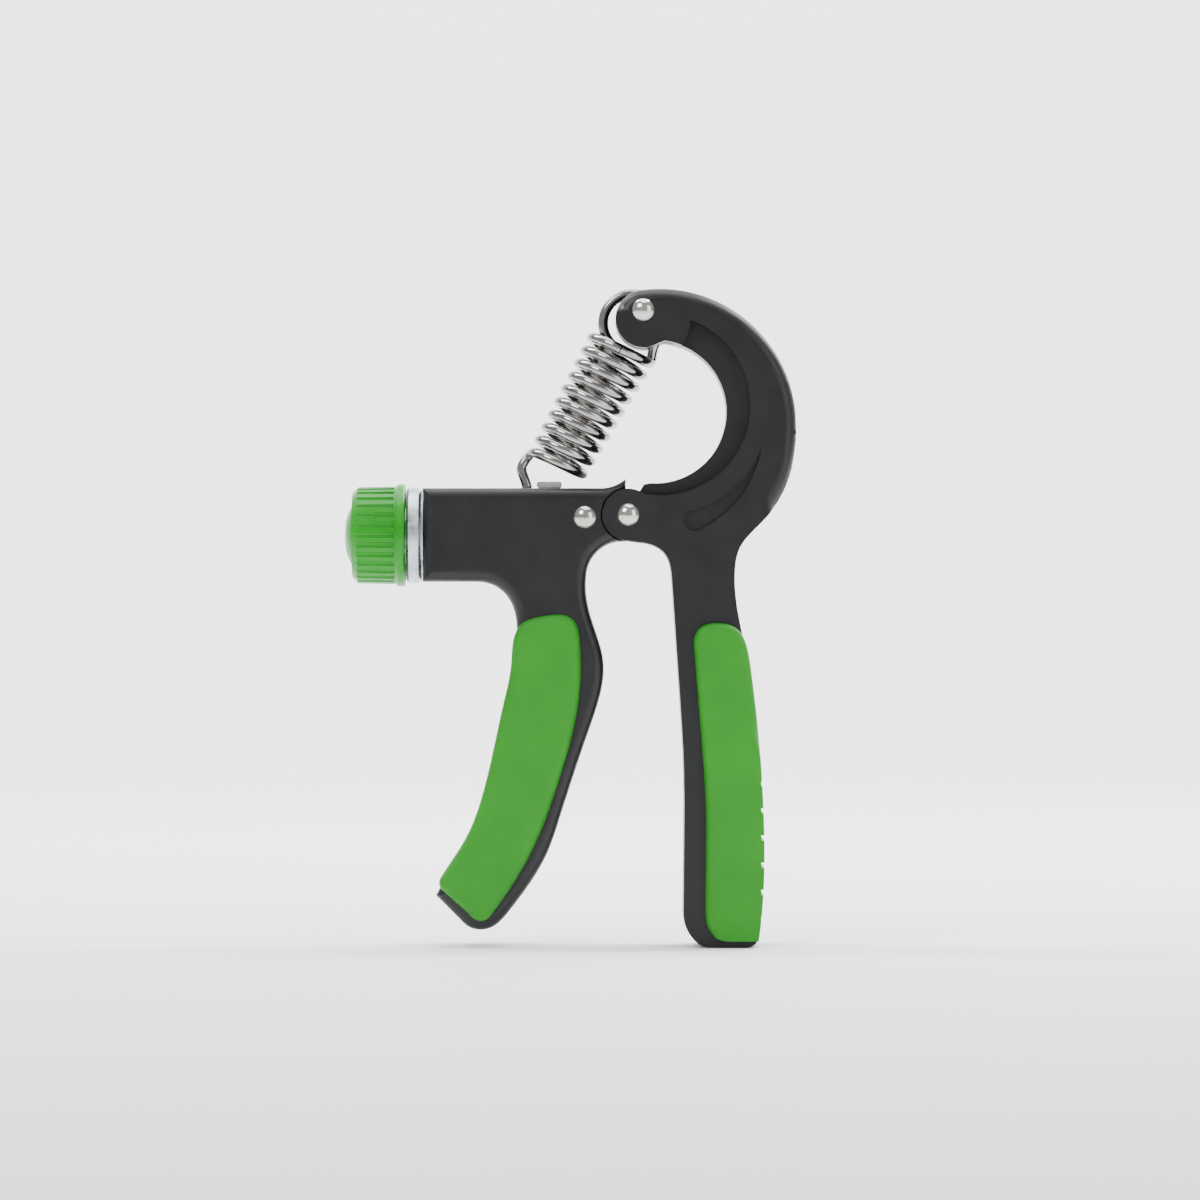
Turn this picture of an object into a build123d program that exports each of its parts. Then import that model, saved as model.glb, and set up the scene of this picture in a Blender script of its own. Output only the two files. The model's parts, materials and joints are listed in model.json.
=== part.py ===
from build123d import *
import math
import os

# Adjustable hand gripper, in millimetres, standing on its handle tips.
# X runs from the knob towards the palm side, Y is the thickness, Z is up.
# Outlines are drawn on the middle plane with the squeeze pivot at (0, 0).

# ---- overall -------------------------------------------------------------
body_depth = 20.0  # thickness of the finger side body
arm_depth = 19.0  # thickness of the palm side arm
grip_depth = 23.0  # thickness over the soft grips
handle_drop = 87.8  # from the pivot down to the palm handle's tip

# ---- barrel and screw line --------------------------------------------------
barrel_len = 41.7  # from the pivot to the barrel's open end
barrel_height = 19.0
screw_drop = 4.1  # screw axis below the pivot
bore_r = 6.6
bore_end = 11.6  # distance of the blind end of the bore from the pivot
slot_width = 6.2
slot_left = 34.5
slot_right = 12.6
screw_r = 2.5
screw_tail_r = 1.9
thread_pitch = 1.0
thread_depth = 0.55
bush_len = 4.0
end_bush_len = 2.0

# ---- knob -----------------------------------------------------------------
ring_gap = 0.4
ring_len = 3.0
ring_r = 9.8
washer_len = 0.3
washer_r = 5.75
flange_len = 1.8
flange_r = 10.45
knob_len = 9.0
knob_r = 9.95
knob_taper = 0.15
knob_ribs = 30
rib_groove_r = 0.62
cap_r = 6.25
cap_rise = 1.5
cap_seat = 3.0
knob_screw_r = 1.4
knob_screw_len = 7.0
knob_screw_head_r = 3.4
screw_head_len = 1.8
ring_clear = 0.3
tab_left = -18.6
tab_right = -13.5
tab_width = 7.6
tab_plate = 1.2
tab_rise = 1.4
tab_stem = 1.6
clip_r = 4.2
clip_len = 0.6
nut_len = 8.4
nut_shift = -0.5  # the nut stands a little towards the pivot from its pin

# ---- pivot ------------------------------------------------------------------
tongue_thick = 8.0
tongue_r = 4.9
cheek_r = 5.3
washer_rim_r = 4.6
pivot_pin_r = 2.0
bush_wall = 0.9
pivot_washer = 0.5
rivet_head_r = 2.25
rivet_head_rise = 1.1
body_round = 2.2  # edge rounding of the finger side body
core_depth = 9.0  # rib of hard plastic inside each soft grip
core_shift = (3.6, 1.8)  # soft material left outside that rib
rib_pitch = 5.5  # grip grooves on the palm side
rib_gap = 1.1
rib_deep = 0.8
barrel_pin_x = -8.8
barrel_pin_z = -0.5
barrel_pin_r = 1.5

# ---- curved arm ----------------------------------------------------------------
bow_x = 6.4  # centre of the arm's outer curve
bow_z = 18.2
bow_r = 27.7
eye_gap_x = 5.5  # centre of the arm's inner curve
eye_gap_z = 20.9
eye_gap_r = 14.5
ridge_x = 6.5  # centre of the ridge where the inner band begins
ridge_z = 22.2
ridge_r = 18.3
band_depth = 13.0
head_clear_r = 9.3  # the full thickness kept round the head
eye_slot_r = 9.0
rib_count = 9
head_r = 5.9
head_angle = 98.1  # where the head's round meets the outer curve
crescent_deep = 1.0

# ---- spring --------------------------------------------------------------------
wire_r = 1.05
coil_r = 6.0  # to the middle of the wire
lower_turns = 4.5
upper_turns = 5.0
coil_offset = 0.3  # coil axis beside the line through the two pins
eye_offset = -0.7  # middle of the eye beside that line
coil_start = 7.2  # along the line from the lower pin
coil_end = 35.0
lower_pin_x = -18.7
lower_pin_z = 4.0
lower_pin_r = 1.0
upper_pin_x = 3.06
upper_pin_z = 41.5
upper_pin_r = 1.25
sleeve_wall = 0.35
eye_slot = 3.4
eye_clear = 0.15
hook_clear = 0.25
hook_room = 1.5

# ---- fits ------------------------------------------------------------------------
running = 0.05  # radial clearance of a shaft in its hole
sliding = 0.15  # clearance of the slider in the barrel
swing = 0.3  # room round the cheeks as the arm turns

# ---- worked out --------------------------------------------------------------------
barrel_top = barrel_height / 2 - screw_drop
barrel_bottom = barrel_top - barrel_height
ring_right = -(barrel_len + ring_gap)
ring_left = ring_right - ring_len
washer_left = ring_left - washer_len
flange_left = washer_left - flange_len
knob_left = flange_left - knob_len
cap_left = knob_left - cap_rise
pivot_x = -(cap_left + bow_x + bow_r) / 2
pivot_z = handle_drop
head_x = bow_x + (bow_r - head_r) * math.cos(math.radians(head_angle))
head_z = bow_z + (bow_r - head_r) * math.sin(math.radians(head_angle))
page = Plane(origin=(pivot_x, 0, pivot_z), x_dir=(1, 0, 0), z_dir=(0, -1, 0))
cheek_gap = tongue_thick + 2 * pivot_washer + 2 * running
spring_run = upper_pin_x - lower_pin_x
spring_rise = upper_pin_z - lower_pin_z
spring_length = math.hypot(spring_run, spring_rise)
spring_tilt = math.degrees(math.atan2(spring_run, spring_rise))

os.makedirs("parts", exist_ok=True)


def across(x):
    """Plane square to the screw, centred on it, x from the pivot."""
    return Plane(
        origin=(pivot_x + x, 0, pivot_z - screw_drop), x_dir=(0, 1, 0), z_dir=(1, 0, 0)
    )


def along_screw():
    """Plane through the screw axis; x along the screw from the pivot, y outwards."""
    return Plane(origin=(pivot_x, 0, pivot_z - screw_drop), x_dir=(1, 0, 0), z_dir=(0, -1, 0))


def through(x, z):
    """Plane through the axis of a cross pin at (x, z); x outwards, y towards the back."""
    return Plane(origin=(pivot_x + x, 0, pivot_z + z), x_dir=(1, 0, 0), z_dir=(0, 0, 1))


screw_axis = Axis((pivot_x, 0, pivot_z - screw_drop), (1, 0, 0))


def cross_axis(x, z):
    """Axis of a cross pin at (x, z)."""
    return Axis((pivot_x + x, 0, pivot_z + z), (0, 1, 0))


def at_back(sketch, depth):
    """The outline on the back face of a slab that deep, ready to extrude forwards."""
    return sketch.moved(Location((0, depth / 2, 0)))


def save(part, name):
    """Label a finished piece and write it."""
    part.label = name
    export_step(part, "parts/" + name + ".step")


# ---- finger side: body and grip ----------------------------------------------------
finger_outer = [(-39.0, -77.2), (-32.6, -66.8), (-27.6, -53.0), (-24.3, -37.9), (-22.6, -24.0)]
finger_inner = [(-8.45, -11.8), (-5.0, -30.0), (-8.4, -45.0), (-14.0, -62.0), (-23.8, -80.0)]

with BuildSketch(page) as finger_outline:
    with BuildLine():
        top = Line((-barrel_len, barrel_top), (-5.4, barrel_top))
        beak = ThreePointArc(top @ 1, (-2.6, barrel_top + 0.6), (-0.5, 7.3))
        neck = Line(beak @ 1, (-0.5, -5.4))
        arch = ThreePointArc(neck @ 1, (-6.4, -7.6), finger_inner[0])
        inner = Spline(finger_inner, tangents=[arch % 1, (-0.62, -0.78)])
        toe = Spline([inner @ 1, (-28.2, -83.9), (-33.4, -82.8)], tangents=[inner % 1, (-1, 1)])
        sole = Line(toe @ 1, finger_outer[0])
        outer = Spline(finger_outer, tangents=[(0.45, 0.9), (0, 1)])
        crook = Spline([outer @ 1, (-24.8, -16.3), (-31.0, barrel_bottom)],
                       tangents=[outer % 1, (-1, 0)])
        under = Line(crook @ 1, (-barrel_len, barrel_bottom))
        end = Line(under @ 1, top @ 0)
    make_face()

with BuildSketch(page) as finger_pad:
    with BuildLine():
        seam = Spline(
            [(-9.9, -24.5), (-10.0, -37.4), (-14.2, -54.5), (-26.9, -80.0)],
            tangents=[(0.1, -1), (-0.6, -0.8)],
        )
        tip = Spline([seam @ 1, (-29.6, -82.2), (-32.2, -81.0)], tangents=[seam % 1, (-1, 1)])
        low = Line(tip @ 1, (-38.9, -75.0))
        edge = Spline(
            [(-38.9, -75.0), (-33.4, -66.4), (-28.5, -52.7), (-25.2, -37.8), (-23.6, -28.0)],
            tangents=[(0.5, 0.87), (0.04, 1)],
        )
        crown = Spline([edge @ 1, (-17.0, -20.5), seam @ 0], tangents=[edge % 1, seam % 0])
    make_face()


finger_core = finger_pad.sketch & finger_pad.sketch.moved(Location((core_shift[0], 0, core_shift[1])))

with BuildPart() as finger_handle:
    extrude(at_back(finger_outline.sketch, body_depth), amount=body_depth)
    face_edges = finger_handle.edges().group_by(Axis.Y)
    fillet(face_edges[0] + face_edges[-1], body_round)
    with BuildSketch(page):
        Circle(tongue_r)
    extrude(amount=tongue_thick / 2, both=True)
    for side in (1, -1):
        with BuildSketch(page.offset(side * tongue_thick / 2)):
            Circle(cheek_r + swing)
        extrude(amount=side * body_depth, mode=Mode.SUBTRACT)
    extrude(at_back(finger_pad.sketch, grip_depth), amount=grip_depth, mode=Mode.SUBTRACT)
    extrude(at_back(finger_core, core_depth), amount=core_depth)
    with BuildSketch(across(-barrel_len)):
        Circle(bore_r)
    extrude(amount=barrel_len - bore_end, mode=Mode.SUBTRACT)
    with BuildSketch(Plane(origin=(pivot_x, 0, pivot_z + barrel_top))):
        with Locations((-(slot_left + slot_right) / 2, 0)):
            RectangleRounded(slot_left - slot_right, slot_width, slot_width / 4)
    extrude(amount=-(barrel_top + screw_drop), mode=Mode.SUBTRACT)
    with BuildSketch(page):
        Circle(pivot_pin_r + running + bush_wall)
        with Locations((barrel_pin_x, barrel_pin_z)):
            Circle(barrel_pin_r)
    extrude(amount=body_depth, both=True, mode=Mode.SUBTRACT)
save(finger_handle.part, "finger_handle")

with BuildPart() as finger_grip:
    extrude(at_back(finger_pad.sketch, grip_depth), amount=grip_depth)
    extrude(at_back(finger_core, core_depth), amount=core_depth, mode=Mode.SUBTRACT)
save(finger_grip.part, "finger_grip")

# ---- palm side: curved arm and grip --------------------------------------------------
palm_back = [(34.1, 18.2), (32.3, 6.6), (27.6, -1.0), (22.6, -6.8), (21.6, -12.0),
             (24.2, -30.0), (26.7, -56.0), (26.6, -84.5)]
palm_front = [(11.2, -81.0), (11.2, -49.0), (10.1, -32.0), (8.9, -13.5)]

with BuildSketch(page) as arm_outline:
    with BuildLine():
        bow = CenterArc((bow_x, bow_z), bow_r, head_angle, -head_angle)
        back = Spline(palm_back, tangents=[(0, -1), (0, -1)])
        heel = Spline([back @ 1, (25.8, -87.0), (23.5, -handle_drop)],
                      tangents=[(0, -1), (-1, 0)])
        sole = Line(heel @ 1, (17.0, -handle_drop))
        toe = Spline([sole @ 1, (12.9, -85.7), palm_front[0]], tangents=[(-1, 0), (0, 1)])
        front = Spline(palm_front, tangents=[(0, 1), (-0.06, 1)])
        arch = Spline([front @ 1, (7.4, -7.9), (3.0, -5.7)], tangents=[front % 1, (-3, 0.4)])
        chin = Line(arch @ 1, (0, -cheek_r))
        neck = Line(chin @ 1, (0, cheek_r))
        nape = Line(neck @ 1, (2.3, 4.7))
        stop = Line(nape @ 1, (3.2, 6.2))
        ledge = Line(stop @ 1, (4.6, 6.43))
        hollow = ThreePointArc(ledge @ 1, (eye_gap_x + eye_gap_r, eye_gap_z), (7.4, 35.27))
        head = CenterArc((head_x, head_z), head_r, head_angle, 180)
        throat = Line(hollow @ 1, head @ 1)
    make_face()

with BuildSketch(page) as palm_pad:
    with BuildLine():
        seam = Spline([(13.3, -27.0), (14.0, -36.0), (15.6, -57.0), (15.6, -80.0)],
                      tangents=[(0.1, -1), (0, -1)])
        corner = Spline([seam @ 1, (16.9, -84.9), (20.4, -86.4)], tangents=[seam % 1, (1, 0)])
        low = Line(corner @ 1, (26.4, -86.4))
        edge = Spline([(26.4, -86.4), (27.4, -76.0), (27.2, -56.0), (24.7, -30.0)],
                      tangents=[(0.15, 1), (-0.14, 1)])
        crown = Spline([edge @ 1, (18.8, -22.0), seam @ 0], tangents=[edge % 1, seam % 0])
    make_face()

palm_core = palm_pad.sketch & palm_pad.sketch.moved(Location((-core_shift[0], 0, core_shift[1])))

with BuildSketch(page) as crescent:
    with BuildLine():
        horn = ThreePointArc((27.0, 13.6), (21.2, 1.8), (14.6, -3.0))
        butt = ThreePointArc(horn @ 1, (11.4, -1.9), (12.3, 0.8))
        hollow = ThreePointArc(butt @ 1, (21.6, 5.6), horn @ 0)
    make_face()

with BuildPart() as palm_arm:
    extrude(at_back(arm_outline.sketch, arm_depth), amount=arm_depth)
    for side in (1, -1):
        with BuildSketch(page.offset(side * band_depth / 2)):
            with Locations((ridge_x, ridge_z)):
                Circle(ridge_r)
            with Locations((head_x, head_z)):
                Circle(head_clear_r, mode=Mode.SUBTRACT)
        extrude(amount=side * arm_depth, mode=Mode.SUBTRACT)
    for back in (arm_depth / 2, -arm_depth / 2 + crescent_deep):
        pocket = crescent.sketch.moved(Location((0, back, 0)))
        extrude(pocket, amount=crescent_deep, mode=Mode.SUBTRACT)
    with BuildSketch(page.offset(-arm_depth / 2)):
        Circle(cheek_r)
    extrude(amount=arm_depth)
    with BuildSketch(page.offset(-cheek_gap / 2)):
        Circle(cheek_r + 1.0)
        with Locations((-cheek_r, 0)):
            Rectangle(2 * cheek_r, 2 * cheek_r + 2)
    extrude(amount=cheek_gap, mode=Mode.SUBTRACT)
    with BuildSketch(page.offset(-eye_slot / 2)):
        with Locations((upper_pin_x, upper_pin_z)):
            Circle(eye_slot_r)
    extrude(amount=eye_slot, mode=Mode.SUBTRACT)
    extrude(at_back(palm_pad.sketch, grip_depth), amount=grip_depth, mode=Mode.SUBTRACT)
    extrude(at_back(palm_core, core_depth), amount=core_depth)
    with BuildSketch(page.offset(-body_depth)):
        Circle(pivot_pin_r)
        with Locations((upper_pin_x, upper_pin_z)):
            Circle(upper_pin_r)
    extrude(amount=2 * body_depth, mode=Mode.SUBTRACT)
save(palm_arm.part, "palm_arm")

with BuildPart() as palm_grip:
    extrude(at_back(palm_pad.sketch, grip_depth), amount=grip_depth)
    extrude(at_back(palm_core, core_depth), amount=core_depth, mode=Mode.SUBTRACT)
    with BuildSketch(page.offset(-grip_depth)):
        for step in range(rib_count):
            with Locations((28.2, -82.0 + step * rib_pitch)):
                Rectangle(2 * rib_deep + 1.0, rib_gap)
    extrude(amount=2 * grip_depth, mode=Mode.SUBTRACT)
save(palm_grip.part, "palm_grip")

# ---- knob and screw line ---------------------------------------------------------------


def ring_of(corners, axis_plane):
    """Face with the given (along the axis, radius) corners, ready to revolve."""
    with BuildSketch(axis_plane) as section:
        with BuildLine():
            Polyline(*corners, close=True)
        make_face()
    return section.sketch


def turned(corners):
    """Section of a piece on the screw axis, x along the screw from the pivot."""
    return ring_of(corners, along_screw())


with BuildPart() as collar_ring:
    add(turned([
        (ring_left, screw_r + ring_clear),
        (ring_left, ring_r - 0.5),
        (ring_left + 0.5, ring_r),
        (ring_right - 0.5, ring_r),
        (ring_right, ring_r - 0.5),
        (ring_right, ring_r - 1.2),
        (-barrel_len, ring_r - 1.2),
        (-barrel_len, screw_r + ring_clear),
    ]))
    revolve(axis=screw_axis)
save(collar_ring.part, "collar_ring")

with BuildPart() as screw_bush:
    add(turned([
        (-barrel_len, screw_r + running),
        (-barrel_len, bore_r),
        (-barrel_len + bush_len, bore_r),
        (-barrel_len + bush_len, screw_r + running),
    ]))
    revolve(axis=screw_axis)
save(screw_bush.part, "screw_bush")

with BuildPart() as end_bush:
    add(turned([
        (-bore_end - end_bush_len, screw_tail_r + running),
        (-bore_end - end_bush_len, bore_r),
        (-bore_end, bore_r),
        (-bore_end, screw_tail_r + running),
    ]))
    revolve(axis=screw_axis)
save(end_bush.part, "end_bush")

with BuildPart() as thrust_washer:
    add(turned([
        (washer_left, screw_r + running),
        (washer_left, washer_r),
        (ring_left - running, washer_r),
        (ring_left - running, screw_r + running),
    ]))
    revolve(axis=screw_axis)
save(thrust_washer.part, "thrust_washer")

clip_left = -barrel_len + bush_len + sliding
with BuildPart() as retaining_clip:
    add(turned([
        (clip_left, screw_r),
        (clip_left, clip_r),
        (clip_left + clip_len, clip_r),
        (clip_left + clip_len, screw_r),
    ]))
    revolve(axis=screw_axis)
save(retaining_clip.part, "retaining_clip")

# The screw: plain where it turns in the knob and the bush, threaded under the nut.
thread_left = clip_left + clip_len + 0.5
thread_right = -bore_end - end_bush_len - 0.3
thread_count = int((thread_right - thread_left) / thread_pitch)
screw_head = knob_left + cap_seat + screw_head_len
screw_line = [(screw_head, 0), (screw_head, screw_r)]
for turn in range(thread_count):
    start = thread_left + turn * thread_pitch
    screw_line.append((start, screw_r))
    screw_line.append((start + thread_pitch / 2, screw_r - thread_depth))
screw_line.append((thread_left + thread_count * thread_pitch, screw_r))
screw_line.append((thread_right, screw_r))
screw_line.append((thread_right, screw_tail_r))
screw_line.append((-bore_end - 0.2, screw_tail_r))
screw_line.append((-bore_end - 0.2, 0))
with BuildPart() as lead_screw:
    add(turned(screw_line))
    revolve(axis=screw_axis)
    with BuildSketch(across(screw_head)):
        Circle(knob_screw_r)
    extrude(amount=knob_screw_len, mode=Mode.SUBTRACT)
save(lead_screw.part, "lead_screw")

with BuildPart() as knob_screw:
    with BuildSketch(across(screw_head - screw_head_len)):
        Circle(knob_screw_head_r)
    extrude(amount=screw_head_len)
    with BuildSketch(across(screw_head)):
        Circle(knob_screw_r)
    extrude(amount=knob_screw_len - 0.5)
    with BuildSketch(across(screw_head - screw_head_len)):
        Rectangle(knob_screw_head_r * 1.3, 0.7)
        Rectangle(0.7, knob_screw_head_r * 1.3)
    extrude(amount=0.8, mode=Mode.SUBTRACT)
save(knob_screw.part, "knob_screw")

with BuildPart() as knob:
    add(turned([
        (knob_left, cap_r),
        (knob_left, knob_r - knob_taper - 1.2),
        (knob_left + 1.2, knob_r - knob_taper),
        (flange_left, knob_r),
        (flange_left, flange_r - 0.3),
        (flange_left + 0.3, flange_r),
        (washer_left - 0.3, flange_r),
        (washer_left, flange_r - 0.3),
        (washer_left, screw_r),
        (screw_head, screw_r),
        (screw_head, cap_r),
    ]))
    revolve(axis=screw_axis)
    with BuildSketch(across(knob_left - 1)):
        with PolarLocations(knob_r + 0.15, knob_ribs):
            Circle(rib_groove_r)
    extrude(amount=knob_len + 0.6, mode=Mode.SUBTRACT)
save(knob.part, "knob")

with BuildPart() as knob_cap:
    with BuildSketch(along_screw()):
        with BuildLine():
            dome = ThreePointArc((cap_left, 0), (cap_left + 0.35, cap_r * 0.6), (knob_left, cap_r))
            side = Line(dome @ 1, (knob_left + cap_seat - 0.2, cap_r))
            base = Line(side @ 1, (knob_left + cap_seat - 0.2, 0))
            axis = Line(base @ 1, dome @ 0)
        make_face()
    revolve(axis=screw_axis)
save(knob_cap.part, "knob_cap")

# ---- slider ----------------------------------------------------------------------------
nut_left = lower_pin_x - nut_len / 2 - nut_shift
nut_right = nut_left + nut_len
lug_width = slot_width - 2 * sliding
lug_top = barrel_height / 2 - 0.2
hook_pocket = 2 * wire_r + 0.5
with BuildPart() as slider_nut:
    with BuildSketch(across(nut_left)):
        Circle(bore_r - sliding)
        with Locations((0, lug_top / 2)):
            Rectangle(lug_width, lug_top)
        Circle(screw_r + running, mode=Mode.SUBTRACT)
    extrude(amount=nut_len)
    with BuildSketch(page.offset(-hook_pocket / 2)):
        with Locations((lower_pin_x - 0.4, lower_pin_z)):
            Circle(lower_pin_r + 2 * wire_r + hook_room)
    extrude(amount=hook_pocket, mode=Mode.SUBTRACT)
    with BuildSketch(page.offset(-body_depth)):
        with Locations((lower_pin_x, lower_pin_z)):
            Circle(lower_pin_r)
    extrude(amount=2 * body_depth, mode=Mode.SUBTRACT)
save(slider_nut.part, "slider_nut")
with BuildPart() as slider_tab:
    with BuildSketch(page.offset(-tab_width / 2)):
        with Locations(((tab_left + tab_right) / 2, barrel_top + tab_rise - tab_plate / 2)):
            RectangleRounded(tab_right - tab_left, tab_plate, tab_plate * 0.4)
    extrude(amount=tab_width)
    with BuildSketch(Plane(origin=(pivot_x, 0, pivot_z - screw_drop + lug_top))):
        with Locations((nut_right - tab_stem / 2, 0)):
            Rectangle(tab_stem, lug_width)
    extrude(amount=barrel_height / 2 - lug_top + tab_rise - tab_plate)
save(slider_tab.part, "slider_tab")


def rivet_face(x, z, shank_r, reach):
    """Half section of a rivet on the cross axis at (x, z) with a domed head at each end."""
    ball_r = (rivet_head_r**2 + rivet_head_rise**2) / (2 * rivet_head_rise)
    mid_rise = rivet_head_rise - ball_r + math.sqrt(ball_r**2 - (rivet_head_r / 2) ** 2)
    with BuildSketch(through(x, z)) as section:
        with BuildLine():
            shank = Line((shank_r, -reach), (shank_r, reach))
            rim = Line(shank @ 1, (rivet_head_r, reach))
            top = (0, reach + rivet_head_rise)
            dome = ThreePointArc(rim @ 1, (rivet_head_r / 2, reach + mid_rise), top)
            axis = Line(dome @ 1, (0, -reach - rivet_head_rise))
            edge = (rivet_head_r, -reach)
            back_dome = ThreePointArc(axis @ 1, (rivet_head_r / 2, -reach - mid_rise), edge)
            Line(back_dome @ 1, shank @ 0)
        make_face()
    return section.sketch


def sleeve_face(x, z, inner, outer, low, high):
    """Half section of a tube on the cross axis at (x, z), from low to high along Y."""
    corners = [(inner, low), (outer, low), (outer, high), (inner, high)]
    return ring_of(corners, through(x, z))


# ---- pins, bushes and washers -----------------------------------------------------------
with BuildPart() as barrel_rivet:
    add(rivet_face(barrel_pin_x, barrel_pin_z, barrel_pin_r, body_depth / 2))
    revolve(axis=cross_axis(barrel_pin_x, barrel_pin_z))
save(barrel_rivet.part, "barrel_rivet")

with BuildPart() as pivot_rivet:
    add(rivet_face(0, 0, pivot_pin_r, arm_depth / 2))
    revolve(axis=cross_axis(0, 0))
save(pivot_rivet.part, "pivot_rivet")

with BuildPart() as spring_rivet:
    add(rivet_face(upper_pin_x, upper_pin_z, upper_pin_r, arm_depth / 2))
    revolve(axis=cross_axis(upper_pin_x, upper_pin_z))
save(spring_rivet.part, "spring_rivet")

with BuildPart() as spring_sleeve:
    half = eye_slot / 2 - running
    add(sleeve_face(upper_pin_x, upper_pin_z, upper_pin_r, upper_pin_r + sleeve_wall, -half, half))
    revolve(axis=cross_axis(upper_pin_x, upper_pin_z))
save(spring_sleeve.part, "spring_sleeve")

with BuildPart() as pivot_bush:
    inner = pivot_pin_r + running
    half = tongue_thick / 2
    add(sleeve_face(0, 0, inner, inner + bush_wall, -half, half))
    revolve(axis=cross_axis(0, 0))
save(pivot_bush.part, "pivot_bush")

with BuildPart() as pivot_washers:
    low = tongue_thick / 2 + running
    for start in (low, -low - pivot_washer):
        add(sleeve_face(0, 0, pivot_pin_r, washer_rim_r, start, start + pivot_washer))
        revolve(axis=cross_axis(0, 0))
save(pivot_washers.part, "pivot_washers")

with BuildPart() as slider_pin:
    with BuildSketch(page.offset(-lug_width / 2)):
        with Locations((lower_pin_x, lower_pin_z)):
            Circle(lower_pin_r)
    extrude(amount=lug_width)
save(slider_pin.part, "slider_pin")

# ---- spring ----------------------------------------------------------------------------------
# Drawn on the line between its two pins: x to the right of it, z along it from the lower pin.
tilt = math.radians(spring_tilt)
spring_foot = (pivot_x + lower_pin_x, 0, pivot_z + lower_pin_z)
spring_axis = (math.sin(tilt), 0, math.cos(tilt))
spring_side = (math.cos(tilt), 0, -math.sin(tilt))
spring_plane = Plane(origin=spring_foot, x_dir=spring_side, z_dir=spring_axis)
coil_pitch = (coil_end - coil_start) / (lower_turns + upper_turns)
coil_split = coil_start + coil_pitch * lower_turns
eye_drop = coil_r - wire_r - upper_pin_r - sleeve_wall - eye_clear
eye_z = spring_length - math.sqrt(eye_drop**2 - eye_offset**2)


def at_spring(points):
    """The spring's own (x, y, z) points in the part's frame."""
    return [spring_plane.from_local_coords(Vector(*point)) for point in points]


def coil_line(start, end, first_angle):
    """Helix on the coil axis from start to end along the spring."""
    at_start = Location((coil_offset, 0, start), (0, 0, first_angle))
    return Helix(coil_pitch, end - start, coil_r).moved(spring_plane.location * at_start)


lower_helix = coil_line(coil_start, coil_split, 180)
upper_helix = coil_line(coil_split, coil_end, 0)

with BuildPart() as spring_lower_coils:
    with BuildLine() as lower_path:
        add(lower_helix)
    with BuildSketch(Plane(origin=lower_path.line @ 0, z_dir=lower_path.line % 0)):
        Circle(wire_r)
    sweep(is_frenet=True)
save(spring_lower_coils.part, "spring_lower_coils")

with BuildPart() as spring_upper_coils:
    with BuildLine() as upper_path:
        add(upper_helix)
    with BuildSketch(Plane(origin=upper_path.line @ 0, z_dir=upper_path.line % 0)):
        Circle(wire_r)
    sweep(is_frenet=True)
save(spring_upper_coils.part, "spring_upper_coils")

hook_r = lower_pin_r + wire_r + hook_clear
with BuildPart() as spring_hook:
    with BuildLine() as hook_path:
        shank = Spline(
            at_spring([
                (coil_offset - coil_r, 0, coil_start), (-6.0, 1.3, 6.0), (-5.9, 0.6, 4.0),
                (-4.7, 0, 1.9), (-hook_r, 0, 0),
            ]),
            tangents=[-(lower_path.line % 0), -Vector(spring_axis)],
        )
        ThreePointArc(shank @ 1, *at_spring([(0, 0, -hook_r), (hook_r, 0, 0)]))
    with BuildSketch(Plane(origin=hook_path.line @ 0, z_dir=hook_path.line % 0)):
        Circle(wire_r)
    sweep()
save(spring_hook.part, "spring_hook")

coil_right = coil_offset + coil_r
eye_right = eye_offset + coil_r
half_r = coil_r * math.sqrt(0.5)
with BuildPart() as spring_eye:
    with BuildLine() as eye_path:
        riser = Spline(
            at_spring([
                (coil_right, 0, coil_end), (coil_right + 0.3, 1.1, coil_end + 1.4),
                (coil_right - 0.3, 0.35, coil_end + 3.3), (eye_right, 0, eye_z),
            ]),
            tangents=[upper_path.line % 1, Vector(spring_axis)],
        )
        over = ThreePointArc(
            riser @ 1,
            *at_spring([(eye_offset, 0, eye_z + coil_r), (eye_offset - coil_r, 0, eye_z)]),
        )
        ThreePointArc(
            over @ 1,
            *at_spring([
                (eye_offset - half_r, 0, eye_z - half_r),
                (eye_offset, 0, eye_z - coil_r),
            ]),
        )
    with BuildSketch(Plane(origin=eye_path.line @ 0, z_dir=eye_path.line % 0)):
        Circle(wire_r)
    sweep()
save(spring_eye.part, "spring_eye")
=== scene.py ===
import json
import math

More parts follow.
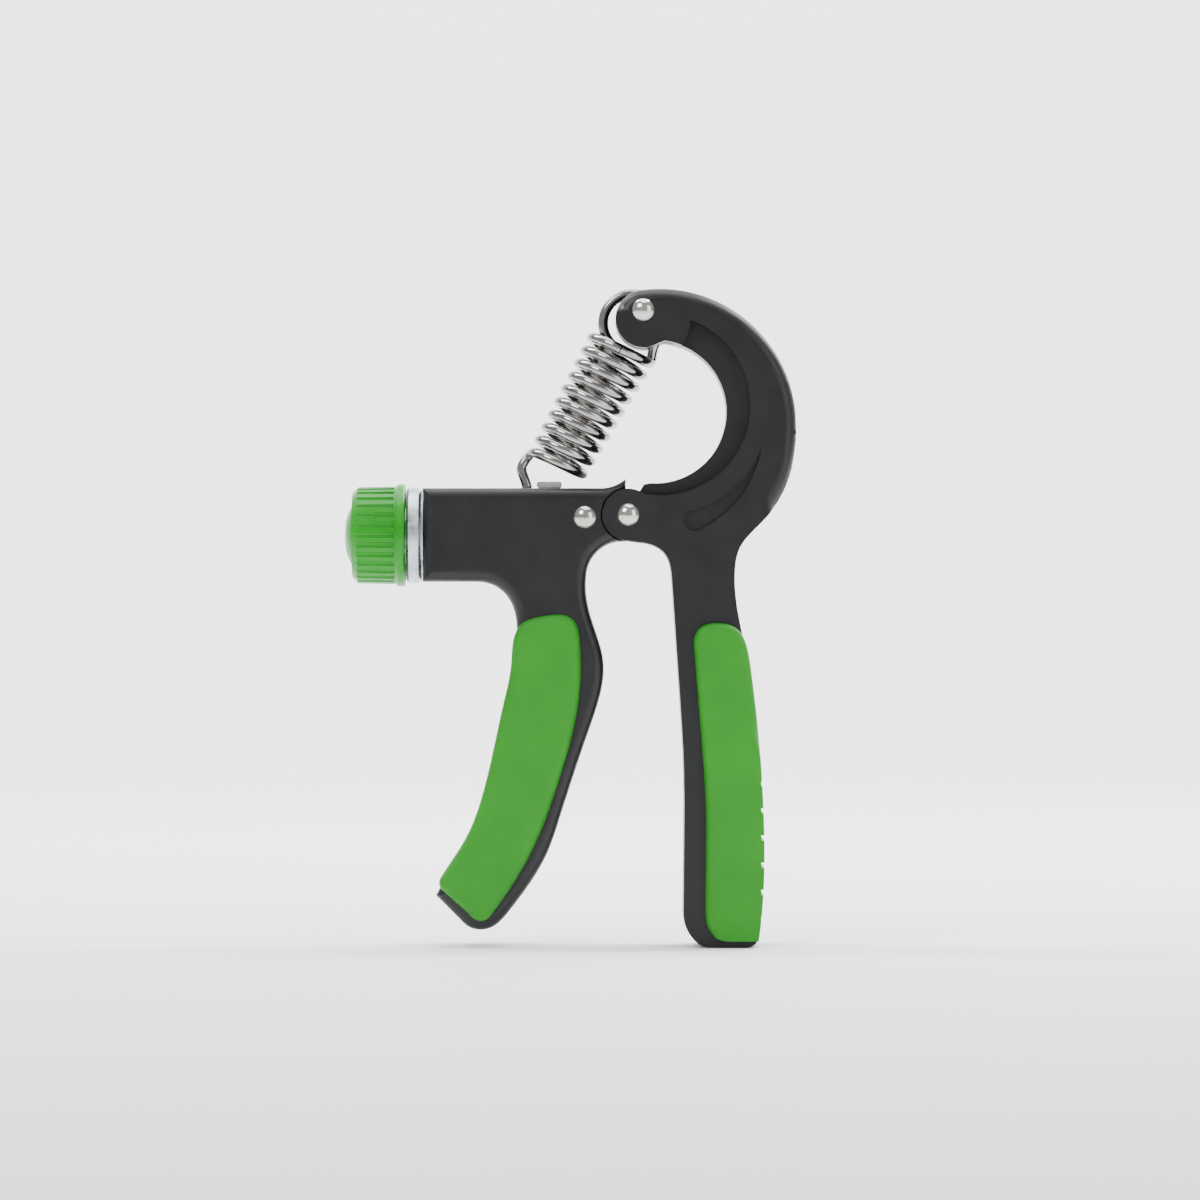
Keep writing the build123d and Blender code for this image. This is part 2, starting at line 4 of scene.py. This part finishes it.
import bmesh
import bpy
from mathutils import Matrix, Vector


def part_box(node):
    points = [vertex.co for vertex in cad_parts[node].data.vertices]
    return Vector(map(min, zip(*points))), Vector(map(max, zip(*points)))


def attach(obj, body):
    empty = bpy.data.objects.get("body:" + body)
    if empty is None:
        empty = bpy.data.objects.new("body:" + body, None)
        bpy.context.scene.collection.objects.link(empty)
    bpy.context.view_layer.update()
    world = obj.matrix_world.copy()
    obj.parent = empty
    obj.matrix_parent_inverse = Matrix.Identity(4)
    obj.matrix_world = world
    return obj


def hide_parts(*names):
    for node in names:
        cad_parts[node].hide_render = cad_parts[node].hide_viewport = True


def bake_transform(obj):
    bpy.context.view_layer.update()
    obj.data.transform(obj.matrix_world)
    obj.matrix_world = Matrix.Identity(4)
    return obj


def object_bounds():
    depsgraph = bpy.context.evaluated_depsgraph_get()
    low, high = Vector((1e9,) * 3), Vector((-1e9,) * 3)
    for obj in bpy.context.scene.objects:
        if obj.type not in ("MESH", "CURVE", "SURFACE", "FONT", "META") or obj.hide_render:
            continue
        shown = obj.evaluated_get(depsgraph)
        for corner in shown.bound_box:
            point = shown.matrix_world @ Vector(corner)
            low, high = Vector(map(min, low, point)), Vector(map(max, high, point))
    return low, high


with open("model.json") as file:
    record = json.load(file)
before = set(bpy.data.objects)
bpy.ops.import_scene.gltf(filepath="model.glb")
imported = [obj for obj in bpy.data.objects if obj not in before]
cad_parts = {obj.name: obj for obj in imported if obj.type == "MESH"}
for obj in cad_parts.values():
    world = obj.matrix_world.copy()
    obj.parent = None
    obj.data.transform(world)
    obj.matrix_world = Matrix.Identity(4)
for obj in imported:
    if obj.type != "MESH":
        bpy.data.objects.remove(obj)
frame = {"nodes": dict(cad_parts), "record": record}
cad_box = [list(corner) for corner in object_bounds()]

# ---- sizes, in metres --------------------------------------------------------------
mm = 0.001
grip_round = 1.6 * mm  # rounding along the soft grips
grip_foot = 1.2 * mm  # left sharp at the foot of a grip
notched_height = 24 * mm  # the notches begin this far below the top of the palm grip
notched_depth = 4 * mm  # and reach this far in from its outer side
arm_round = 2.6 * mm  # rounding along the outside of the bow
bow_centre = (6.4 * mm, 0, 18.2 * mm)  # from the pivot
bow_inside = 25 * mm  # everything rounded on the bow is farther out than this
bow_foot = 17 * mm  # the rounding stops this far below the bow's centre
bow_front = 12 * mm

wire_r = 1.05 * mm
coil_r_foot = 5.5 * mm  # the coil is wider at its head than at its foot
coil_r_head = 6.45 * mm
coil_offset_foot = 0.5 * mm  # coil axis beside the line through the two pins
coil_offset_head = 0.0
coil_start = 7.2 * mm  # along that line from the lower pin
coil_end = 35.0 * mm
coil_turns = 9.5
eye_r = 6.0 * mm
eye_offset = -0.7 * mm
eye_seat = 1.75 * mm  # from the upper pin's axis to the inside of the eye
hook_r = 2.3 * mm


# ---- materials -------------------------------------------------------------
def new_material(name):
    """Empty node material with its shader, its output and Object coordinates."""
    material = bpy.data.materials.new(name)
    material.use_nodes = True
    tree = material.node_tree
    tree.nodes.clear()
    output = tree.nodes.new("ShaderNodeOutputMaterial")
    shader = tree.nodes.new("ShaderNodeBsdfPrincipled")
    place = tree.nodes.new("ShaderNodeTexCoord")
    tree.links.new(shader.outputs["BSDF"], output.inputs["Surface"])
    return material, tree, shader, place.outputs["Object"]


def noise(tree, place, scale, detail=3.0, stretch=(1, 1, 1)):
    """Noise of the given scale in object space, stretched along the axes."""
    mapping = tree.nodes.new("ShaderNodeMapping")
    mapping.inputs["Scale"].default_value = stretch
    texture = tree.nodes.new("ShaderNodeTexNoise")
    texture.inputs["Scale"].default_value = scale
    texture.inputs["Detail"].default_value = detail
    tree.links.new(place, mapping.inputs["Vector"])
    tree.links.new(mapping.outputs["Vector"], texture.inputs["Vector"])
    return texture.outputs["Fac"]


def between(tree, fac, low, high, start=0.3, end=0.7):
    """A number that runs from low to high as fac runs from start to end."""
    node = tree.nodes.new("ShaderNodeMapRange")
    node.inputs["From Min"].default_value = start
    node.inputs["From Max"].default_value = end
    node.inputs["To Min"].default_value = low
    node.inputs["To Max"].default_value = high
    tree.links.new(fac, node.inputs["Value"])
    return node.outputs["Result"]


def two_tone(tree, fac, first, second):
    """A colour that varies softly between two near tones."""
    ramp = tree.nodes.new("ShaderNodeValToRGB")
    ramp.color_ramp.elements[0].position = 0.35
    ramp.color_ramp.elements[0].color = (*first, 1)
    ramp.color_ramp.elements[1].position = 0.65
    ramp.color_ramp.elements[1].color = (*second, 1)
    tree.links.new(fac, ramp.inputs["Fac"])
    return ramp.outputs["Color"]


def bump(tree, shader, height, strength, distance, under=None):
    """Adds a bump of the given height to the shader's normal."""
    node = tree.nodes.new("ShaderNodeBump")
    node.inputs["Strength"].default_value = strength
    node.inputs["Distance"].default_value = distance
    tree.links.new(height, node.inputs["Height"])
    if under is not None:
        tree.links.new(under, node.inputs["Normal"])
    tree.links.new(node.outputs["Normal"], shader.inputs["Normal"])
    return node.outputs["Normal"]


def moulded_plastic(name, dark, light, rough, grain_scale, grain_strength, shine=0.35):
    """Injection moulded plastic: faint mottling, uneven gloss and a fine spark-eroded grain."""
    material, tree, shader, place = new_material(name)
    cloud = noise(tree, place, 90, 4)
    tree.links.new(two_tone(tree, cloud, dark, light), shader.inputs["Base Color"])
    patches = noise(tree, place, 260, 3)
    tree.links.new(between(tree, patches, rough - 0.05, rough + 0.06), shader.inputs["Roughness"])
    shader.inputs["Specular IOR Level"].default_value = shine
    wave = bump(tree, shader, noise(tree, place, 160, 1), 0.06, 0.4 * mm)
    bump(tree, shader, noise(tree, place, grain_scale, 2), grain_strength, 0.05 * mm, wave)
    return material


def polished_metal(name, dark, light, rough, stretch=(1, 1, 1), scratch=0.12):
    """Plated or drawn metal: clean colour, slight haze and fine scratches along one way."""
    material, tree, shader, place = new_material(name)
    cloud = noise(tree, place, 220, 3)
    tree.links.new(two_tone(tree, cloud, dark, light), shader.inputs["Base Color"])
    shader.inputs["Metallic"].default_value = 1.0
    haze = noise(tree, place, 900, 3)
    tree.links.new(between(tree, haze, rough * 0.7, rough * 1.5), shader.inputs["Roughness"])
    lines = noise(tree, place, 1200, 2, stretch)
    bump(tree, shader, lines, scratch, 0.02 * mm)
    return material


black = moulded_plastic(
    "satin_black_nylon", (0.0042, 0.0044, 0.0054), (0.0062, 0.0064, 0.0076), 0.40, 3800, 0.16
)
soft_green = moulded_plastic(
    "soft_green_rubber", (0.008, 0.190, 0.0015), (0.011, 0.215, 0.002), 0.55, 3200, 0.22
)
knob_green = moulded_plastic(
    "gloss_green_plastic", (0.003, 0.215, 0.002), (0.0045, 0.25, 0.003), 0.32, 3000, 0.08
)
white_nylon = moulded_plastic(
    "natural_nylon", (0.62, 0.60, 0.54), (0.70, 0.68, 0.62), 0.45, 2600, 0.12
)
satin_silver = polished_metal(
    "satin_silver", (0.50, 0.53, 0.57), (0.58, 0.61, 0.65), 0.34, (1, 0.02, 0.02), 0.2
)
nickel = polished_metal("bright_nickel", (0.50, 0.48, 0.44), (0.60, 0.57, 0.53), 0.13)
spring_steel = polished_metal("dark_spring_steel", (0.27, 0.26, 0.25), (0.38, 0.37, 0.36), 0.13)
turned_steel = polished_metal(
    "turned_steel", (0.48, 0.49, 0.50), (0.60, 0.61, 0.62), 0.28, (1, 0.03, 0.03), 0.3
)
brass = polished_metal(
    "turned_brass", (0.62, 0.44, 0.16), (0.74, 0.54, 0.22), 0.26, (1, 0.03, 0.03), 0.25
)

slot_material = {
    "black_plastic": black,
    "green_rubber": soft_green,
    "green_plastic": knob_green,
    "silver_ring": satin_silver,
    "nickel": nickel,
    "spring_steel": spring_steel,
    "steel": turned_steel,
    "brass": brass,
    "nylon": white_nylon,
}
node_slot = {row["node"]: row["material_slot"] for row in frame["record"]["subparts"]}


def dress(piece, material):
    """Give every material slot of a piece this material."""
    if not piece.material_slots:
        piece.data.materials.append(material)
    for slot in piece.material_slots:
        slot.material = material


for node, piece in frame["nodes"].items():
    dress(piece, slot_material[node_slot[node]])


# ---- making pieces ---------------------------------------------------------------
def finished(shape, name, body, material, smooth_angle=32):
    """Turn a bmesh into a smooth shaded piece that rides on a body."""
    mesh = bpy.data.meshes.new(name)
    shape.to_mesh(mesh)
    shape.free()
    for face in mesh.polygons:
        face.use_smooth = True
    mesh.set_sharp_from_angle(angle=math.radians(smooth_angle))
    piece = bpy.data.objects.new(name, mesh)
    bpy.context.scene.collection.objects.link(piece)
    piece.data.materials.append(material)
    if body:
        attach(piece, body)
    return piece


def merged_copy(node):
    """A CAD node's mesh with its loose triangles joined into whole faces."""
    shape = bmesh.new()
    shape.from_mesh(frame["nodes"][node].data)
    bmesh.ops.remove_doubles(shape, verts=shape.verts, dist=0.002 * mm)
    bmesh.ops.dissolve_limit(
        shape, angle_limit=math.radians(0.6), verts=shape.verts, edges=shape.edges
    )
    return shape


def round_edges(shape, wanted, width, segments):
    """Bevel the sharp edges that wanted picks."""
    sharp = [
        edge
        for edge in shape.edges
        if len(edge.link_faces) == 2
        and edge.calc_face_angle(0.0) > math.radians(38)
        and wanted(edge)
    ]
    bmesh.ops.bevel(
        shape,
        geom=sharp,
        offset=width,
        offset_type="OFFSET",
        segments=segments,
        profile=0.5,
        affect="EDGES",
        clamp_overlap=False,
        material=-1,
    )


def middle(edge):
    return (edge.verts[0].co + edge.verts[1].co) / 2


def outer_face_edge(half_depth):
    """Picks edges that lie in the front or the back face."""

    def test(edge):
        return all(abs(abs(vert.co.y) - half_depth) < 0.02 * mm for vert in edge.verts)

    return test


def weighted(piece):
    """Keep the broad flat faces flat in the shading."""
    normals = piece.modifiers.new("even_normals", "WEIGHTED_NORMAL")
    normals.keep_sharp = True
    normals.weight = 80


def centre_of(node):
    low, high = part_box(node)
    return (Vector(low) + Vector(high)) / 2


# ---- soft grips and curved arm -------------------------------------------------------
def grip(node, name, body, notched_from=None):
    """A soft grip with its long edges well rounded, but not along its finger notches."""
    shape = merged_copy(node)
    low, high = (Vector(corner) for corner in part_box(node))
    in_face = outer_face_edge(high.y)

    def wanted(edge):
        where = middle(edge)
        has_notches = notched_from is not None and where.x > notched_from
        notched = has_notches and where.z < high.z - notched_height
        return in_face(edge) and not notched and where.z > low.z + grip_foot

    round_edges(shape, wanted, grip_round, 5)
    piece = finished(shape, name, body, soft_green)
    weighted(piece)
    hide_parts(node)


grip("finger_grip", "finger_grip_skin", "finger_side")
palm_grip_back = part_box("palm_grip")[1][0]
grip("palm_grip", "palm_grip_skin", "palm_side", palm_grip_back - notched_depth)


def curved_arm():
    """The palm side arm with the outer edges of its bow rounded."""
    shape = merged_copy("palm_arm")
    in_face = outer_face_edge(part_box("palm_arm")[1][1])
    bow = centre_of("pivot_rivet") + Vector(bow_centre)

    def wanted(edge):
        where = middle(edge) - bow
        outside = math.hypot(where.x, where.z) > bow_inside
        below_bow = where.z < -bow_foot or (where.z < 0 and where.x < bow_front)
        return in_face(edge) and outside and not below_bow

    round_edges(shape, wanted, arm_round, 6)
    piece = finished(shape, "palm_arm_shell", "palm_side", black)
    weighted(piece)
    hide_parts("palm_arm")


curved_arm()


# ---- spring --------------------------------------------------------------------------
foot_pin = centre_of("slider_pin")
head_pin = centre_of("spring_rivet")
along = (head_pin - foot_pin).normalized()
aside = Vector((along.z, 0, -along.x))
length = (head_pin - foot_pin).length
eye_drop = eye_r - wire_r - eye_seat
eye_z = length - math.sqrt(eye_drop**2 - eye_offset**2)


def at_spring(x, y, z):
    """A point given aside, back and along from the spring's lower pin."""
    return foot_pin + aside * x + Vector((0, y, 0)) + along * z


def smooth_run(start, start_way, end, end_way, pull, count=14):
    """Points of a cubic curve between two ends with given directions."""
    first = start + start_way.normalized() * pull
    second = end - end_way.normalized() * pull
    points = []
    for step in range(count + 1):
        t = step / count
        u = 1 - t
        points.append(
            start * u**3 + first * (3 * u * u * t) + second * (3 * u * t * t) + end * t**3
        )
    return points


def arc(centre_x, centre_z, radius, first, last, count):
    """Points of an arc in the spring's own plane, angles in degrees from aside."""
    points = []
    for step in range(count + 1):
        angle = math.radians(first + (last - first) * step / count)
        points.append(
            at_spring(centre_x + radius * math.cos(angle), 0, centre_z + radius * math.sin(angle))
        )
    return points


def coil_points(steps_a_turn=28):
    """Points of the coil, from its left end at the foot to its right end at the head."""
    points = []
    total = round(coil_turns * steps_a_turn)
    for step in range(total + 1):
        angle = math.pi + 2 * math.pi * step / steps_a_turn
        share = step / total
        radius = coil_r_foot + (coil_r_head - coil_r_foot) * share
        offset = coil_offset_foot + (coil_offset_head - coil_offset_foot) * share
        points.append(
            at_spring(
                offset + radius * math.cos(angle),
                radius * math.sin(angle),
                coil_start + (coil_end - coil_start) * share,
            )
        )
    return points


def wire(points, name):
    """A round wire along the points, closed at both ends."""
    line = bpy.data.curves.new(name + "_line", "CURVE")
    line.dimensions = "3D"
    line.bevel_depth = wire_r
    line.bevel_resolution = 5
    line.use_fill_caps = True
    line.resolution_u = 1
    spline = line.splines.new("POLY")
    spline.points.add(len(points) - 1)
    for point, place in zip(spline.points, points):
        point.co = (*place, 1)
    holder = bpy.data.objects.new(name + "_holder", line)
    bpy.context.scene.collection.objects.link(holder)
    bpy.context.view_layer.update()
    mesh = bpy.data.meshes.new_from_object(
        holder.evaluated_get(bpy.context.evaluated_depsgraph_get())
    )
    bpy.data.objects.remove(holder)
    shape = bmesh.new()
    shape.from_mesh(mesh)
    bpy.data.meshes.remove(mesh)
    bmesh.ops.remove_doubles(shape, verts=shape.verts, dist=0.005 * mm)
    bmesh.ops.recalc_face_normals(shape, faces=shape.faces)
    return finished(shape, name, None, spring_steel, 50)


coil = coil_points()
coil_in = (coil[1] - coil[0]).normalized()
coil_out = (coil[-1] - coil[-2]).normalized()
bend = at_spring(-5.6 * mm, 0.55 * mm, 4.2 * mm)
hook_line = smooth_run(coil[0], -coil_in, bend, -along, 2.0 * mm)
hook_line += smooth_run(bend, -along, at_spring(-hook_r, 0, 0), aside * 0.35 - along, 2.0 * mm)[1:]
hook_line += arc(0, 0, hook_r, 180, 360, 16)[1:]
hook = wire(hook_line, "spring_wire_hook")
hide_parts("spring_hook")
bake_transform(hook)

split = round(len(coil) * 0.97)
coils = wire(coil[: split + 1], "spring_wire_coils")
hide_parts("spring_lower_coils", "spring_upper_coils")
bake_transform(coils)

eye_right = eye_offset + eye_r
eye_line = coil[split:]
eye_line += smooth_run(
    coil[-1], coil_out, at_spring(eye_right, 0, eye_z), along, 2.6 * mm
)[1:]
eye_line += arc(eye_offset, eye_z, eye_r, 0, 285, 44)[1:]
eye = wire(eye_line, "spring_wire_eye")
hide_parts("spring_eye")
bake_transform(eye)


# ---- stage -------------------------------------------------------------------------------
def studio():
    """Pale floor that curves up behind, soft lights and the camera."""
    low, high = (Vector(corner) for corner in cad_box)
    centre = (low + high) / 2
    pale, tree, shader, place = new_material("pale_floor")
    shader.inputs["Base Color"].default_value = (0.93, 0.93, 0.93, 1)
    shader.inputs["Roughness"].default_value = 0.7

    sweep = bmesh.new()
    front, rear, wide, rise, bend_r = -2.2, 1.0, 2.6, 2.4, 0.5
    profile = [Vector((-wide, front, low.z)), Vector((-wide, rear, low.z))]
    for step in range(1, 13):
        turn = math.radians(7.5 * step)
        profile.append(
            Vector((-wide, rear + bend_r * math.sin(turn), low.z + bend_r * (1 - math.cos(turn))))
        )
    profile.append(Vector((-wide, rear + bend_r, low.z + rise)))
    verts = [sweep.verts.new(point) for point in profile]
    edges = [sweep.edges.new(pair) for pair in zip(verts, verts[1:])]
    moved = bmesh.ops.extrude_edge_only(sweep, edges=edges)["geom"]
    bmesh.ops.translate(
        sweep,
        verts=[item for item in moved if isinstance(item, bmesh.types.BMVert)],
        vec=(2 * wide, 0, 0),
    )
    bmesh.ops.recalc_face_normals(sweep, faces=sweep.faces)
    mesh = bpy.data.meshes.new("backdrop")
    sweep.to_mesh(mesh)
    sweep.free()
    for face in mesh.polygons:
        face.use_smooth = True
    floor = bpy.data.objects.new("backdrop", mesh)
    bpy.context.scene.collection.objects.link(floor)
    floor.data.materials.append(pale)

    def softbox(name, place, size, power):
        light = bpy.data.lights.new(name, "AREA")
        light.shape = "RECTANGLE"
        light.size, light.size_y = size
        light.energy = power
        lamp = bpy.data.objects.new(name, light)
        bpy.context.scene.collection.objects.link(lamp)
        lamp.location = centre + Vector(place)
        lamp.rotation_euler = (-Vector(place)).to_track_quat("-Z", "Y").to_euler()

    softbox("key", (-0.55, -0.75, 0.75), (0.5, 0.5), 8)
    softbox("fill", (0.8, -0.7, 0.25), (0.5, 0.9), 4)
    softbox("top", (0.05, 0.05, 0.95), (0.9, 0.7), 9)
    softbox("rim", (0.5, 0.6, 0.5), (0.5, 0.5), 5)
    for side in (-1, 1):
        wash = bpy.data.lights.new("backdrop_wash", "AREA")
        wash.shape = "RECTANGLE"
        wash.size, wash.size_y = 0.8, 0.4
        wash.energy = 32
        lamp = bpy.data.objects.new("backdrop_wash", wash)
        bpy.context.scene.collection.objects.link(lamp)
        lamp.location = centre + Vector((side * 0.75, 0.35, 1.0))
        aim = Vector((side * 0.2, 1.45, 0.35)) + centre - lamp.location
        lamp.rotation_euler = aim.to_track_quat("-Z", "Y").to_euler()

    world = bpy.data.worlds.new("studio")
    bpy.context.scene.world = world
    world.use_nodes = True
    world.node_tree.nodes["Background"].inputs["Color"].default_value = (0.95, 0.97, 1, 1)
    world.node_tree.nodes["Background"].inputs["Strength"].default_value = 0.6

    camera = bpy.data.cameras.new("camera")
    camera.sensor_width = 36
    distance = 1.3
    frame_width = 0.2449
    camera.lens = camera.sensor_width * distance / frame_width
    camera.clip_start = 0.05
    holder = bpy.data.objects.new("camera", camera)
    bpy.context.scene.collection.objects.link(holder)
    holder.location = (centre.x + 6.1 * mm, -distance, centre.z + 3.5 * mm)
    holder.rotation_euler = (math.pi / 2, 0, 0)
    bpy.context.scene.camera = holder


studio()
